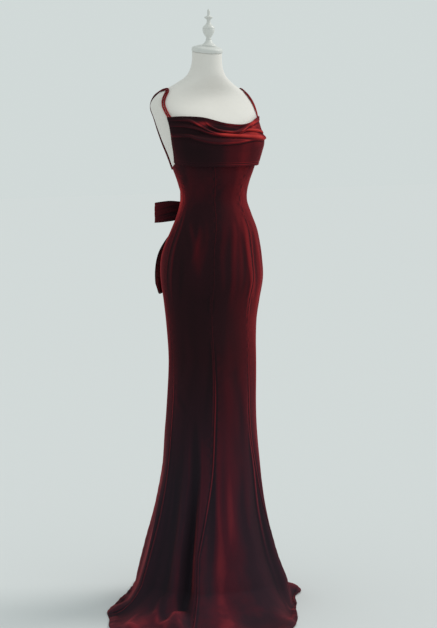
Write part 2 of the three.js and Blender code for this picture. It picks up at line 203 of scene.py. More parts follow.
# %% The fall to the floor, the reach of the hem, and the flutes
FALL = table(
    ("part", "share", "z"),
    (0.0, 0.0, 83),
    (0.17, 0.16, 56),
    (0.34, 0.35, 31),
    (0.52, 0.55, 11),
    (0.68, 0.74, 1.5),
    (0.84, 0.87, 1.5),
    (1.0, 1.0, 1.5),
)
HEM = table(
    ("angle", "radius"),
    (-180, 345), (-165, 312), (-150, 274), (-135, 266), (-120, 278), (-105, 308),
    (-95, 350), (-84, 385), (-72, 452), (-60, 440), (-48, 408), (-36, 446),
    (-15, 448), (0, 440), (15, 372), (30, 312), (45, 290), (60, 284),
    (70, 309), (79, 322), (92, 322), (105, 338), (120, 352), (135, 356),
    (150, 352), (165, 350), (180, 345),
)
FLUTES = table(
    ("angle", "out"),
    (-180, 4), (-171, -9), (-162, -15), (-151, -8), (-141, 8), (-130, -10),
    (-118, -17), (-104, -7), (-91, 9), (-80, -11), (-68, -14), (-57, 3),
    (-48, -34), (-40, 12), (-26, -6), (-8, 2), (10, 3), (27, -5),
    (40, 11), (50, -15), (62, -8), (75, -17), (90, 8), (103, -9),
    (116, -16), (129, -7), (140, 8), (151, -14), (162, -9), (171, -12), (180, 4),
)
HEM_FOLDS = table(
    ("angle", "width", "height"),
    (-49, 6, 34), (-64, 7, 15), (-97, 7, 16), (-22, 8, 12), (8, 7, 10),
    (76, 8, 20), (118, 9, 13), (163, 8, 15), (-156, 8, 10),
)
TOP_EDGE = table(
    ("angle", "z"),
    (0, 1499), (22, 1501), (42, 1517), (58, 1527.5), (70, 1529.5), (74, 1508),
    (79, 1470), (84, 1428), (90, 1396), (98, 1384), (120, 1376), (150, 1366), (180, 1361),
)
print("reach of the hem in mm:", HEM["radius"].min(), "to", HEM["radius"].max())

# %% [markdown]
# One function gives the outer face of the whole dress at any angle and height. The panels, the cowl and the
# bow's tails are placed by it and then moved out along the normal, so that layers follow one another as they
# do on a body.

# %% The surface of the dress
TOP = 1530
WAIST = 1290
HIP = 1060
FOOT = 83
FLUTES_START = 640
ARMHOLE_EASE = 1.8
ARMHOLE_ANGLE = 81
ARMHOLE_WIDTH = 12
ARMHOLE_FADE = (1395, 1440)
FOLDS_START = 0.3
ANGLE_STEP = 0.4
LEVEL_STEP = 0.8


def section_point(angle, z, inset=0):
    """Points of level sections, with both half axes made smaller by an inset."""
    sin, cos = np.sin(np.radians(angle)), np.cos(np.radians(angle))
    power = 2 / along(SECTIONS, "z", "square", z)
    front, back = along(SECTIONS, "z", "front", z), along(SECTIONS, "z", "back", z)
    depth = np.where(cos > 0, front, back) - inset
    x = (along(SECTIONS, "z", "half_width", z) - inset) * np.sign(sin) * np.abs(sin) ** power
    y = along(SECTIONS, "z", "centre", z) - depth * np.sign(cos) * np.abs(cos) ** power
    return np.stack(np.broadcast_arrays(x, y, z), -1)


def skirt_point(angle, z):
    """The wall of the dress down to foot height, with its flutes."""
    point = section_point(angle, z)
    low, high = ARMHOLE_FADE
    armhole = bell(np.abs(turned(angle)) - ARMHOLE_ANGLE, ARMHOLE_WIDTH) * smooth((z - low) / (high - low))
    gain = smooth((FLUTES_START - z) / (FLUTES_START - FOOT))
    out = ARMHOLE_EASE * armhole + along(FLUTES, "angle", "out", turned(angle)) * gain
    away = point[..., :2] - np.stack([np.zeros_like(z), along(SECTIONS, "z", "centre", z)], -1)
    away /= np.linalg.norm(away, axis=-1, keepdims=True)
    point[..., :2] += away * out[..., None]
    return point


def fold_height(angle):
    """How high the hem's folds stand up from the floor at an angle."""
    folds = zip(HEM_FOLDS["angle"], HEM_FOLDS["width"], HEM_FOLDS["height"])
    return sum(height * bell(turned(angle - at), width) for at, width, height in folds)


def cloth_point(angle, level):
    """The outer face of the dress. Below foot height the level runs on along the floor to the hem."""
    angle, level = np.broadcast_arrays(np.asarray(angle, float), np.asarray(level, float))
    wall = skirt_point(angle, np.maximum(level, FOOT))
    part = np.clip((FOOT - level) / FOOT, 0, 1)
    reach = along(HEM, "angle", "radius", turned(angle))
    rim = np.stack([reach * np.sin(np.radians(angle)), -reach * np.cos(np.radians(angle))], -1)
    share = along(FALL, "part", "share", part)[..., None]
    wall[..., :2] = mix(wall[..., :2], rim, share)
    lift = fold_height(angle) * np.sin(np.pi * np.clip((part - FOLDS_START) / (1 - FOLDS_START), 0, 1))
    wall[..., 2] = np.where(level < FOOT, along(FALL, "part", "z", part) + lift, wall[..., 2])
    return wall


def normals(surface, angle, level):
    """Outward normals of a surface given as surface(angle, level)."""
    turn = surface(angle + ANGLE_STEP, level) - surface(angle - ANGLE_STEP, level)
    rise = surface(angle, level + LEVEL_STEP) - surface(angle, np.maximum(level - LEVEL_STEP, 0))
    normal = np.cross(turn, rise)
    return normal / np.linalg.norm(normal, axis=-1, keepdims=True)


def moved(angle, level, out):
    """Points of the dress moved out along the normal, and kept above the floor."""
    point = cloth_point(angle, level) + normals(cloth_point, angle, level) * np.asarray(out)[..., None]
    point[..., 2] = np.maximum(point[..., 2], CLOTH + 0.1)
    return point


for place, height in (("waist", WAIST), ("hip", HIP), ("hem", 0)):
    print(place, "width in mm:", np.ptp(cloth_point(np.arange(-180, 180, 2.0), height)[:, 0]).round())

# %% [markdown]
# Velvet is a cloth with a short, dense pile. The pile swallows light that falls straight on it and throws it
# back at grazing angles, so folds and edges shine and flat faces stay dark.
# The shader's sheen does that. Uneven, stretched noise stands for brushed nap, and a fine bump for the tufts.
# On top of that, painted highlights and painted shade go into the base colour, with a painted reflection of
# the floor low on the skirt.


# %% Velvet
def noise(nodes, links, coordinates, scale, detail, stretch=(1, 1, 1)):
    """A noise texture on stretched coordinates."""
    mapping = nodes.new("ShaderNodeMapping")
    mapping.inputs["Scale"].default_value = stretch
    links.new(coordinates, mapping.inputs["Vector"])
    texture = nodes.new("ShaderNodeTexNoise")
    texture.inputs["Scale"].default_value = scale
    texture.inputs["Detail"].default_value = detail
    links.new(mapping.outputs["Vector"], texture.inputs["Vector"])
    return texture.outputs["Fac"]


def ramp(nodes, links, value, stops):
    """A colour ramp through (position, colour) stops."""
    node = nodes.new("ShaderNodeValToRGB")
    while len(node.color_ramp.elements) < len(stops):
        node.color_ramp.elements.new(0.5)
    for element, (position, colour) in zip(node.color_ramp.elements, stops):
        element.position = position
        element.color = (*colour, 1)
    links.new(value, node.inputs["Fac"])
    return node.outputs["Color"]


def bumped(nodes, links, shader, layers):
    """Bumps laid over one another: (height, distance, strength) each."""
    last = None
    for height, distance, strength in layers:
        bump = nodes.new("ShaderNodeBump")
        bump.inputs["Distance"].default_value = distance
        bump.inputs["Strength"].default_value = strength
        links.new(height, bump.inputs["Height"])
        if last is not None:
            links.new(last, bump.inputs["Normal"])
        last = bump.outputs["Normal"]
    links.new(last, shader.inputs["Normal"])


def new_material(name):
    made = bpy.data.materials.new(name)
    made.use_nodes = True
    nodes, links = made.node_tree.nodes, made.node_tree.links
    return made, nodes, links, nodes["Principled BSDF"]


SHEEN_RED = (1.0, 0.11, 0.13, 1)
PILE_AND_HIGHLIGHT_COLOURS = (
    # how much painted highlight the pile has at a place, and its colour there: the dark pile low, painted
    # highlights high
    (0.00, (0.0155, 0.0078, 0.0094)),
    (0.28, (0.0240, 0.0085, 0.0110)),
    (0.52, (0.0620, 0.0082, 0.0115)),
    (0.78, (0.2000, 0.0150, 0.0180)),
    (1.00, (0.4800, 0.0400, 0.0350)),
)

# painted reflection of the cool floor light, which greys the pile low on the skirt: above the first height
# not at all, below the second in full
FLOOR_REFLECTION_LEVELS = (0.80, 0.36)
FLOOR_REFLECTION_TINT = (1.15, 1.75, 1.95, 1)

# scale and stretch of the brushed streaks, of the crushed patches and of the tufts, and how much each counts
STREAKS, STREAKS_STRETCH, STREAKS_SHARE = 22, (1, 1, 0.12), 0.16
CRUSH, CRUSH_STRETCH, CRUSH_DEPTH = 42, (1, 1, 0.45), 0.003
TUFTS, TUFTS_DEPTH = 950, 0.0006


def velvet(name, lift=0.0, sheen=0.5):
    """Burgundy velvet. Its colour follows the attribute that holds the painted highlight and painted shade of
    each sheet, raised by lift.
    """
    made, nodes, links, shader = new_material(name)
    place = nodes.new("ShaderNodeTexCoord").outputs["Object"]
    # the attribute holds painted highlight and painted shade
    lie = nodes.new("ShaderNodeAttribute")
    lie.attribute_name = "shine"
    streaks = nodes.new("ShaderNodeMapRange")
    streaks.inputs["To Min"].default_value = lift - STREAKS_SHARE
    streaks.inputs["To Max"].default_value = lift + STREAKS_SHARE
    links.new(noise(nodes, links, place, STREAKS, 4, STREAKS_STRETCH), streaks.inputs["Value"])
    total = nodes.new("ShaderNodeMath")
    links.new(lie.outputs["Fac"], total.inputs[0])
    links.new(streaks.outputs["Result"], total.inputs[1])
    colour = ramp(nodes, links, total.outputs["Value"], PILE_AND_HIGHLIGHT_COLOURS)
    height = nodes.new("ShaderNodeSeparateXYZ")
    links.new(place, height.inputs[0])
    # painted reflection of the floor: the colour is tinted greyer low on the skirt
    low = nodes.new("ShaderNodeMapRange")
    low.inputs["From Min"].default_value, low.inputs["From Max"].default_value = FLOOR_REFLECTION_LEVELS
    links.new(height.outputs["Z"], low.inputs["Value"])
    floor_reflection = nodes.new("ShaderNodeMixRGB")
    floor_reflection.blend_type = "MULTIPLY"
    floor_reflection.inputs["Color2"].default_value = FLOOR_REFLECTION_TINT
    links.new(low.outputs["Result"], floor_reflection.inputs["Fac"])
    links.new(colour, floor_reflection.inputs["Color1"])
    links.new(floor_reflection.outputs["Color"], shader.inputs["Base Color"])
    shader.inputs["Roughness"].default_value = 0.85
    shader.inputs["Specular IOR Level"].default_value = 0.03
    shader.inputs["Sheen Weight"].default_value = sheen
    shader.inputs["Sheen Roughness"].default_value = 0.32
    shader.inputs["Sheen Tint"].default_value = SHEEN_RED
    tufts = noise(nodes, links, place, TUFTS, 2)
    crush = noise(nodes, links, place, CRUSH, 4, CRUSH_STRETCH)
    bumped(nodes, links, shader, ((crush, CRUSH_DEPTH, 0.2), (tufts, TUFTS_DEPTH, 0.45)))
    return made


gown_velvet = velvet("gown_velvet")
bow_velvet = velvet("bow_velvet", lift=0.06, sheen=0.35)
# a lit copy of the velvet: lift puts painted highlight over the whole strap
lit_strap_velvet = velvet("lit_strap_velvet", lift=0.86, sheen=0.8)
print("velvets:", gown_velvet.name, bow_velvet.name, lit_strap_velvet.name)

# %% [markdown]
# Light and shade are painted into the velvet's colour. Long, soft patches of painted highlight and painted
# shade lie over the body, with painted shade in the hollows of the cowl and a painted highlight on the cloth
# pooled on the floor.
# The crests of folds and of seams get painted highlights too, and the troughs painted shade.
# Both are worked out for each point of a sheet and kept in an attribute, which the shader reads.

# %% Painted light and shade on the pile
LIGHT_AND_SHADE_PATCHES = (
    # angle and height of the middle, half width in degrees, half height in mm, painted highlight (plus) or
    # painted shade (minus)
    (-16, 390, 18, 280, 0.20),
    (-26, 110, 8, 170, 0.36),
    (13, 300, 11, 320, -0.14),
    (43, 230, 12, 260, -0.18),
    (-106, 260, 14, 330, -0.55),
    (46, 900, 30, 430, 0.27),
    (14, 1250, 34, 190, 0.17),
    (46, 1290, 16, 70, 0.14),
    (-99, 1285, 16, 80, 0.42),
    (-103, 1130, 12, 130, 0.20),
    (-102, 700, 14, 300, 0.16),
    (-58, 900, 25, 900, -0.22),
    (-26, 1060, 14, 260, -0.12),
    (-55, 300, 22, 260, -0.12),
    (-47, 1130, 9, 80, 0.26),
    (-60, 1330, 22, 60, 0.12),
    (-58, 16, 17, 22, 0.42),
    (-38, 1512, 12, 9, 0.60),
    (-14, 1480, 18, 7, 0.40),
    (2, 1506, 14, 6, 0.35),
    (12, 1478, 26, 12, 0.45),
    (44, 1496, 20, 36, 0.55),
    (-66, 1490, 26, 40, -0.06),
    (-14, 1498, 11, 7, -0.45),
    (5, 1490, 7, 6, -0.50),
    (-47, 1425, 26, 34, -0.12),
    (13, 1425, 32, 60, 0.22),
    (76, 1180, 16, 160, 0.12),
    (84, 520, 14, 260, 0.20),
    (110, 980, 16, 240, -0.12),
    (122, 300, 14, 260, 0.22),
    (138, 1220, 14, 90, 0.20),
    (160, 720, 15, 280, 0.16),
    (174, 1120, 14, 160, -0.14),
    (-172, 380, 12, 280, 0.20),
    (-150, 900, 15, 300, 0.14),
    (-136, 1180, 12, 120, -0.12),
    (-134, 260, 11, 240, 0.18),
)
# painted shine where no patch lies, and how strongly crests get painted highlight and troughs painted shade
PLAIN_SHINE = 0.27
CREST_SHINE = 0.36


def patch_light_and_shade(points):
    """How much painted highlight or painted shade the patches put on the pile at points in millimetres."""
    centre = along(SECTIONS, "z", "centre", points[..., 2])
    angle = np.degrees(np.arctan2(points[..., 0], centre - points[..., 1]))
    light = np.full(angle.shape, PLAIN_SHINE)
    for at, height, wide, tall, strength in LIGHT_AND_SHADE_PATCHES:
        light += strength * bell(turned(angle - at), wide) * bell(points[..., 2] - height, tall)
    return light


def bend_along(points, normal, axis, reach):
    """How sharply a grid bends outwards over a few rows or columns, in 1/mm. Its edges are left flat."""
    before, after = np.roll(points, reach, axis), np.roll(points, -reach, axis)
    bend = ((2 * points - before - after) * normal).sum(-1)
    bend /= (np.linalg.norm(after - before, axis=-1) / 2) ** 2 + 1e-6
    inner = np.zeros_like(bend)
    keep = [slice(None), slice(None)]
    keep[axis] = slice(reach, -reach)
    inner[tuple(keep)] = bend[tuple(keep)]
    return inner


def crests(points, bends, reaches, curves):
    """Where a grid of points bends outwards, from 1 on a crest to -1 in a trough.

    bends weighs a bend down the sheet and one across it. reaches are the steps of the fine and the wide look,
    and curves the bends in 1/mm that count as sharp for each."""
    normal = np.cross(np.gradient(points, axis=0), np.gradient(points, axis=1))
    normal /= np.linalg.norm(normal, axis=-1, keepdims=True) + 1e-9
    total = np.zeros(points.shape[:2])
    for reach, curve in zip(reaches, curves):
        bend = sum(bends[axis] * bend_along(points, normal, axis, reach) for axis in (0, 1))
        total += np.tanh(bend / curve) / 2
    return total


# the count of the patches of painted highlight and painted shade
print("strokes of the pile:", len(LIGHT_AND_SHADE_PATCHES))

# %% [markdown]
# Real cloth is cut flat before it is sewn. So each piece says how big its flat sheet is, and the sheets below
# print their sizes. A piece without an area is a strip.

# %% The cuts
CUTS = {
    # widest width and longest length in metres, and area in square metres
    "centre_front": (0.610, 1.680, 0.327),
    "side_front_left": (0.276, 1.613, 0.247),
    "side_front_right": (0.413, 1.728, 0.290),
    "side_back_left": (0.307, 1.488, 0.195),
    "side_back_right": (0.287, 1.490, 0.187),
    "centre_back_left": (0.247, 1.499, 0.182),
    "centre_back_right": (0.228, 1.488, 0.170),
    "cowl_overlay": (0.455, 0.188, 0.072),
    "strap_left_inner": (0.0165, 0.423, None),
    "strap_left_outer": (0.0165, 0.415, None),
    "strap_right_inner": (0.0165, 0.423, None),
    "strap_right_outer": (0.0165, 0.415, None),
    "bow_loop_left": (0.268, 0.062, 0.0151),
    "bow_loop_right": (0.268, 0.062, 0.0151),
    "bow_knot": (0.105, 0.042, None),
    "bow_tail_left": (0.111, 0.307, 0.020),
    "bow_tail_right": (0.121, 0.286, 0.019),
}


def cut(piece):
    """Hands a piece back as it is; how big it was cut stands in CUTS."""
    return piece


velvet_area = sum(area or width * length for width, length, area in CUTS.values())
print("velvet in square metres:", round(velvet_area, 2))

# %% [markdown]
# Every sheet starts as a flat grid, as cloth starts flat on the table. A function puts each of its points in
# place on the body, and a Solidify modifier gives the sheet its thickness inwards. That is easier to steer
# than a simulation, and the folds lie just where they are wanted.

# %% A sheet from a grid
def set_in_scene(name, mesh):
    """A mesh as a piece of the scene."""
    piece = bpy.data.objects.new(name, mesh)
    bpy.context.scene.collection.objects.link(piece)
    return piece


def thickened(piece, thickness):
    """Gives a sheet its thickness inwards, in millimetres."""
    wall = piece.modifiers.new("thickness", "SOLIDIFY")
    wall.thickness = thickness * MM
    wall.offset = -1


def set_shine(mesh, shine):
    """Keeps the painted highlight and painted shade of the pile at each point of a mesh."""
    attribute = mesh.attributes.new("shine", "FLOAT", "POINT")
    attribute.data.foreach_set("value", shine.astype(np.float32))


def finished(piece, material, nodes):
    """Gives a new piece its material and its place in the frame."""
    piece.data.materials.append(material)
    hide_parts(*nodes)
    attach(piece, ROOT)
    return piece


def cloth_sheet(name, columns, rows, place, crest=CREST_SHINE, bends=(0.1, 1), reaches=(1, 5),
                curves=(0.09, 0.016)):
    """A sheet of cloth. place(across, down) gives the points of its outer face in millimetres."""
    bm = bmesh.new()
    bm.loops.layers.uv.new("UVMap")
    bmesh.ops.create_grid(bm, x_segments=columns, y_segments=rows, size=0.5, calc_uvs=True)
    mesh = bpy.data.meshes.new(name)
    bm.to_mesh(mesh)
    bm.free()
    flat = np.empty(len(mesh.vertices) * 3)
    mesh.vertices.foreach_get("co", flat)
    across, down = flat[0::3] + 0.5, 0.5 - flat[1::3]
    placed = place(across, down)
    mesh.vertices.foreach_set("co", (placed * MM).ravel())
    mesh.shade_smooth()
    order = (np.round(down * rows).astype(int), np.round(across * columns).astype(int))
    grid = np.empty((rows + 1, columns + 1, 3))
    grid[order] = placed
    # painted light and shade: the patches, plus painted highlights on crests and painted shade in troughs
    shine = np.clip(patch_light_and_shade(grid) + crest * crests(grid, bends, reaches, curves), 0, 1)
    set_shine(mesh, shine[order])
    piece = set_in_scene(name, mesh)
    thickened(piece, CLOTH)
    area = sum(polygon.area for polygon in mesh.polygons)
    steps = (np.linalg.norm(np.diff(grid * MM, axis=axis), axis=-1).sum(axis) for axis in (1, 0))
    width, length = (line.max() for line in steps)
    print(f"{name}: {len(mesh.polygons)} faces, {width:.3f} by {length:.3f} m, {area:.3f} square metres")
    return piece


# %% [markdown]
# The seven panels meet at princess seams, side seams and the centre back seam. Above the knee the seams run
# straight down the body. Below it the front ones swing out with the flare.
# A sewn seam pulls the cloth in along a narrow groove and puckers it a little on both sides. In the flare its
# turned edges also lift a low, rounded shoulder beside the groove.

# %% Seams and rows of the panels
SEAM_SWING_START = 660
SEAM_SWING_GAIN = 1.25
GROOVE_DEPTH = 1.0
GROOVE_WIDTH = 1.6
GROOVE_ON_BODY = 0.15
SHOULDER_HEIGHT = 1.4
SHOULDER_PLACE = 4.5
SHOULDER_WIDTH = 2.4
SHOULDER_WAVE = 60
FLARE_LEVEL = 800
FLARE_FADE = 250
PUCKER_HEIGHT = 0.45
PUCKER_PLACE = 3
PUCKER_REACH = 9
PUCKER_WAVE = 5.5
FALL_ROWS = 0.12


def seam(body, hem, level):
    """The angle of a seam at each level."""
    swing = smooth((SEAM_SWING_START - level) / SEAM_SWING_START)
    return mix(body, hem, np.minimum(swing * SEAM_SWING_GAIN, 1))


def level_of(down):
    """Levels of the rows: most for the body, and the last share for the fall to the floor."""
    body = mix(TOP, FOOT, down / (1 - FALL_ROWS))
    floor = mix(FOOT, 0, (down - 1 + FALL_ROWS) / FALL_ROWS)
    return np.where(down < 1 - FALL_ROWS, body, floor)


def fitted(angle, level):
    """Levels of the bodice rows once they are fitted under the top edge."""
    top = along(TOP_EDGE, "angle", "z", np.abs(turned(angle)))
    return np.where(level > WAIST, WAIST + (level - WAIST) * (top - WAIST) / (TOP - WAIST), level)


print("share of rows on the floor:", FALL_ROWS)

# %% [markdown]
# Tight velvet never lies quite smooth. It has long soft drags down the thigh, short pulls at the waist and
# hip, and hollows above the knee. Each crease is a line on the cloth with its own length, width and height.

# %% Creases
CREASES = (
    # from angle and level, to angle and level, width in mm, height in mm
    (-62, 1232, -50, 1120, 13, 2.2),
    (-48, 1225, -47, 1080, 10, 1.6),
    (-14, 1240, -12, 960, 12, 0.8),
    (-2, 1245, 0, 930, 9, 1.5),
    (9, 1210, 11, 960, 9, -1.0),
    (19, 1235, 23, 900, 10, 2.3),
    (31, 1180, 35, 940, 9, -1.3),
    (39, 1225, 44, 905, 9, 2.2),
    (26, 640, 28, -20, 5, 3.2),
    (57, 1170, 60, 905, 12, 2.4),
    (-79, 1260, -78, 960, 6, 2.2),
    (-85, 1200, -84, 1000, 4, -1.2),
    (-66, 1150, -62, 960, 10, -1.4),
    (-104, 1236, -110, 1010, 15, 2.0),
    (-125, 1200, -120, 930, 16, -1.8),
    (108, 1230, 104, 1000, 14, 2.0),
    (128, 1190, 123, 940, 16, -1.6),
    (160, 1120, 152, 860, 22, -2.4),
    (-160, 1120, -154, 880, 22, -2.4),
    (-74, 1322, -44, 1304, 12, -0.5),
    (-88, 1282, -60, 1272, 11, -0.5),
    (-24, 1312, 2, 1304, 13, -0.4),
    (30, 1316, 64, 1292, 10, -0.9),
    (58, 1276, 82, 1262, 7, -1.0),
    (95, 1320, 130, 1292, 8, -1.3),
    (-98, 1322, -132, 1296, 8, -1.3),
    (120, 1268, 150, 1250, 9, -1.2),
    (-118, 1262, -150, 1248, 9, -1.2),
    (-55, 985, -20, 940, 20, -1.6),
    (18, 975, 55, 930, 20, -1.6),
    (-60, 900, -64, 660, 17, 2.2),
    (-34, 880, -30, 560, 19, -2.4),
    (-6, 860, -3, 500, 26, 2.2),
    (14, 820, 16, 470, 20, 1.6),
    (47, 880, 50, 600, 16, 2.4),
    (68, 860, 66, 560, 17, -2.0),
    (98, 900, 104, 600, 18, 2.0),
    (120, 820, 126, 520, 20, -2.2),
    (160, 800, 158, 480, 22, 2.4),
    (-102, 880, -108, 560, 18, 2.0),
    (-126, 840, -122, 540, 20, -2.0),
    (-162, 820, -160, 500, 22, 2.2),
    (-75, 700, -66, 610, 16, -1.8),
    (-18, 760, 6, 715, 24, -1.2),
    (74, 690, 88, 640, 18, -1.5),
    (-46, 640, -49, 150, 9, 2.6),
    (-62, 500, -66, 140, 14, 1.6),
    (-73, 470, -76, 160, 13, -2.0),
    (-104, 470, -86, 60, 8, 3.0),
    (-19, 600, -20, 60, 13, 2.0),
    (-6, 480, -8, 100, 14, 1.0),
    (6, 480, 5, 110, 14, -1.8),
    (17, 420, 19, 120, 15, -1.6),
    (57, 440, 60, 140, 15, 2.4),
    (72, 470, 70, 150, 14, -2.2),
    (84, 380, 82, 130, 12, 1.8),
    (100, 460, 104, 150, 16, 2.2),
    (114, 420, 116, 140, 14, -2.2),
    (128, 440, 130, 150, 15, 2.2),
    (150, 430, 152, 140, 16, 2.4),
    (168, 460, 168, 150, 14, -2.0),
    (-98, 460, -102, 150, 15, 2.2),
    (-114, 420, -116, 150, 14, -2.0),
    (-128, 440, -130, 150, 15, 2.2),
    (-150, 430, -152, 140, 16, 2.4),
    (-168, 460, -170, 150, 14, -2.0),
)
POOL_FOLDS = (
    # the folds of the cloth that lies on the floor, with the same columns
    (-68, 78, -50, 4, 5, 10),
    (-58, 84, -44, 12, 5, 7),
    (-75, 50, -62, 2, 5, 8),
    (-60, 60, -52, 2, 5, -3),
    (-96, 50, -86, 6, 9, 3),
    (-12, 44, -4, 4, 9, -2),
    (24, 46, 32, 6, 9, 2.5),
    (66, 52, 74, 8, 9, 3),
    (112, 50, 104, 6, 10, 3),
    (150, 48, 158, 6, 10, 3),
    (-150, 50, -142, 6, 10, 3),
)
BODY_RADIUS = 150


def creased(angle, level):
    """How far the creases lift or sink the cloth."""
    out = np.zeros_like(angle)
    scale = math.radians(1) * BODY_RADIUS
    for start_angle, start, end_angle, end, width, height in CREASES + POOL_FOLDS:
        line = np.array([(end_angle - start_angle) * scale, end - start])
        across = turned(angle - start_angle) * scale
        length = np.hypot(*line)
        part = (across * line[0] + (level - start) * line[1]) / length**2
        beside = (across * line[1] - (level - start) * line[0]) / length
        bend = width * 0.5 * np.sin(part * 5 + start_angle)
        taper = np.sin(np.pi * np.clip(part, 0, 1)) ** 1.3
        out += height * taper * bell(beside - bend, width)
    return out


print("creases:", len(CREASES), "and folds on the floor:", len(POOL_FOLDS))

# %% [markdown]
# A panel runs from seam to seam and from the top edge to the hem. Its columns crowd together at the seams,
# where the finest detail is. Its last rows lie on the floor, where small ripples lift them here and there.

# %% The panels
PANEL_ROWS = 300
COLUMNS_CROWDING = 0.8
CREASE_MARGIN = 10
RIPPLE_LEVEL = 40
RIPPLE_HEIGHTS = (2.5, 2.5, 2)


def hem_ripple(angle, level):
    """Small ripples of the hem that lies on the floor."""
    lying = smooth((RIPPLE_LEVEL - level) / RIPPLE_LEVEL)
    plain, round_hem, both_ways = RIPPLE_HEIGHTS
    along_hem = round_hem * uneven(np.radians(angle) * 17, 3)
    return lying * (plain + along_hem + both_ways * uneven(level / 9 + angle / 7, 5))


def panel(name, start, end, columns):
    """One panel between two seams, each given as its angle on the body and at the hem."""
    def place(across, down):
        across = across - COLUMNS_CROWDING / (2 * math.pi) * np.sin(2 * math.pi * across)
        nominal = level_of(down)
        first, last = seam(*start, nominal), seam(*end, nominal)
        angle = mix(first, last, across)
        level = fitted(angle, nominal)
        width = np.radians(last - first) * np.linalg.norm(cloth_point(angle, level)[:, :2], axis=1)
        beside = np.minimum(across, 1 - across) * width
        leading = across < 0.5
        flare = smooth((FLARE_LEVEL - level) / FLARE_FADE)
        groove = GROOVE_DEPTH * bell(beside, GROOVE_WIDTH) * leading * mix(GROOVE_ON_BODY, 1, flare)
        pucker = PUCKER_HEIGHT * uneven(level / PUCKER_WAVE, start[0])
        pucker *= bell(beside - PUCKER_PLACE, PUCKER_REACH)
        shoulder = SHOULDER_HEIGHT * bell(beside - SHOULDER_PLACE, SHOULDER_WIDTH)
        shoulder *= leading * (0.8 + 0.3 * uneven(level / SHOULDER_WAVE, start[0])) * flare
        out = creased(angle, level) * smooth(beside / CREASE_MARGIN) - groove + pucker + shoulder
        return moved(angle, level, out + hem_ripple(angle, level))

    piece = finished(cloth_sheet(name + "_cloth", columns, PANEL_ROWS, place), gown_velvet, [name])
    cut(piece)


def mirrored(line):
    return tuple(-angle for angle in line)


# each seam's angle on the body and at the hem
FRONT, SIDE, BACK, CENTRE_BACK = (25, 40), (90, 90), (141, 140), (180, 180)
SIDE_PANELS = (
    # name, first seam, second seam, columns
    ("side_front", FRONT, SIDE, 72),
    ("side_back", SIDE, BACK, 56),
    ("centre_back", BACK, CENTRE_BACK, 48),
)

panel("centre_front", mirrored(FRONT), FRONT, 88)
for name, start, end, columns in SIDE_PANELS:
    panel(name + "_left", start, end, columns)
    panel(name + "_right", mirrored(end), mirrored(start), columns)

# %% [markdown]
# The cowl is a second layer over the bust. It is cut too long on purpose, so that it drops into folds between
# the strap corners. Each fold is a ridge that runs across the front and droops over the hollow below.

# %% The cowl
COWL_TOP = table(
    ("angle", "z"),
    (-74, 1530), (-62, 1530), (-45, 1530), (-24, 1526), (-6, 1512), (8, 1506),
    (22, 1507), (34, 1516), (50, 1528), (62, 1530), (74, 1530),
)
COWL_REACH = (70, 92)
COWL_BOTTOM = (1383, 1393)
COWL_FOLDS = (
    # half width of the ridge in mm, then angle, height above the floor, and how far it stands out
    (3.4, ((-75, 1522, 0), (-53, 1519, 6), (-40, 1514, 8), (-31, 1499, 8), (-22, 1482, 4), (-14, 1472, 0))),
    (3.6, ((-80, 1506, 0), (-57, 1502, 6), (-43, 1497, 7), (-33, 1488, 8), (-24, 1478, 9), (-14, 1473, 11),
           (-2, 1470, 12), (14, 1466, 11), (41, 1462, 9), (62, 1466, 6), (80, 1470, 0))),
    (3.4, ((-90, 1478, 0), (-74, 1475, 6), (-50, 1470, 9), (-42, 1463, 9), (-27, 1456, 9), (-13, 1454, 10),
           (0, 1455, 10), (13, 1459, 8), (31, 1464, 4), (45, 1467, 0))),
    (3.2, ((-24, 1514, 0), (-20, 1500, 6), (-14, 1488, 9), (-5, 1482, 11), (3, 1479, 12), (9, 1485, 10),
           (19, 1499, 9), (27, 1505, 8), (42, 1514, 6), (60, 1520, 3), (72, 1523, 1))),
    (3.2, ((0, 1476, 0), (8, 1483, 5), (17, 1489, 7), (32, 1488, 7), (48, 1482, 5), (70, 1480, 0))),
)
COWL_HOLLOWS = (
    # angle, height, half width in degrees and in mm, how deep
    (-3, 1498, 12, 9, 5),
    (33, 1496, 10, 6, 3),
    (-38, 1480, 12, 6, 2),
)
COWL_ROLL_HEIGHT, COWL_ROLL_WIDTH = 5, 6
COWL_HANG = 8
COWL_DROOP = 0.15
COWL_LEAST = 2
COWL_SEWN_OUT, COWL_SEWN_SHARE = 2.2, 0.035
STITCH_PLACE, STITCH_DEPTH, STITCH_WIDTH = 9, 0.8, 1.6


def cowl_shape(angle, level, top, bottom):
    """How far the cowl stands out, and how far its ridges droop."""
    free = smooth(1.8 * (1 - np.abs(angle / COWL_REACH[1]) ** 1.6))
    out = COWL_LEAST + COWL_HANG * free * smooth(1.6 * (top - level) / (top - bottom))
    out += COWL_ROLL_HEIGHT * bell(top - level, COWL_ROLL_WIDTH) * free
    droop = np.zeros_like(angle)
    for width, rows in COWL_FOLDS:
        line = table(("angle", "z", "height"), *rows)
        height = np.maximum(along(line, "angle", "height", angle), 0)
        above = level - along(line, "angle", "z", angle)
        out += height * bell(above, np.where(above > 0, 2.2, 0.8) * width)
        droop += COWL_DROOP * height * bell(above + width * 0.6, width * 1.2)
    for place, height, wide, tall, sink in COWL_HOLLOWS:
        out -= sink * bell(angle - place, wide) * bell(level - height, tall)
    return np.maximum(out, COWL_LEAST), droop


